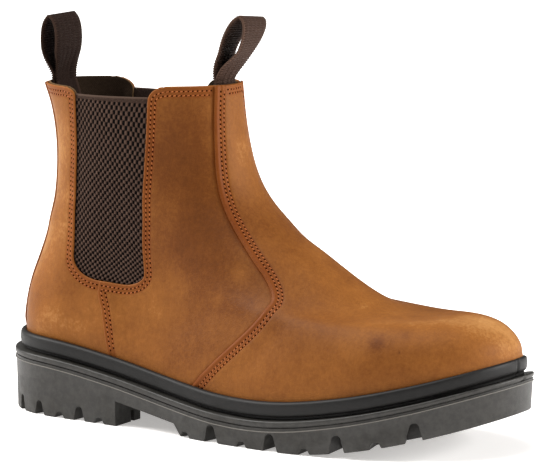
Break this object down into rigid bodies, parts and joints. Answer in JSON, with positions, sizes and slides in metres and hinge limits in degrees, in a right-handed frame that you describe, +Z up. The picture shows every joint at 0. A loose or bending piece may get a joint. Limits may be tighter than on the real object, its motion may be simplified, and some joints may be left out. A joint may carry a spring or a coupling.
{
  "type": "pull-on safety boot",
  "caption": "Right-foot pull-on ankle safety boot with leather upper, elastic side gussets, webbing pull loops and a thick lugged rubber sole.",
  "frame": {"origin": "on the floor under the middle of the bounding box", "axes": "+X to the toe, +Y to the inner side of the right foot, +Z up"},
  "size_m": [0.296, 0.1092, 0.212],
  "materials": {
    "outsole_rubber": "matt moulded dark grey",
    "rand_rubber": "satin near-black",
    "leather": "waxed tan, with darker scuffs",
    "elastic": "dark brown woven elastic",
    "webbing": "dark brown ribbed webbing",
    "footbed": "dark felt"
  },
  "bodies": {
    "root": {"outsole": "outsole_rubber", "midsole": "rand_rubber", "insole": "footbed", "upper": "leather", "gusset_lateral": "elastic", "gusset_medial": "elastic", "pull_loop_front": "webbing", "pull_loop_back": "webbing"}
  },
  "joints": []
}
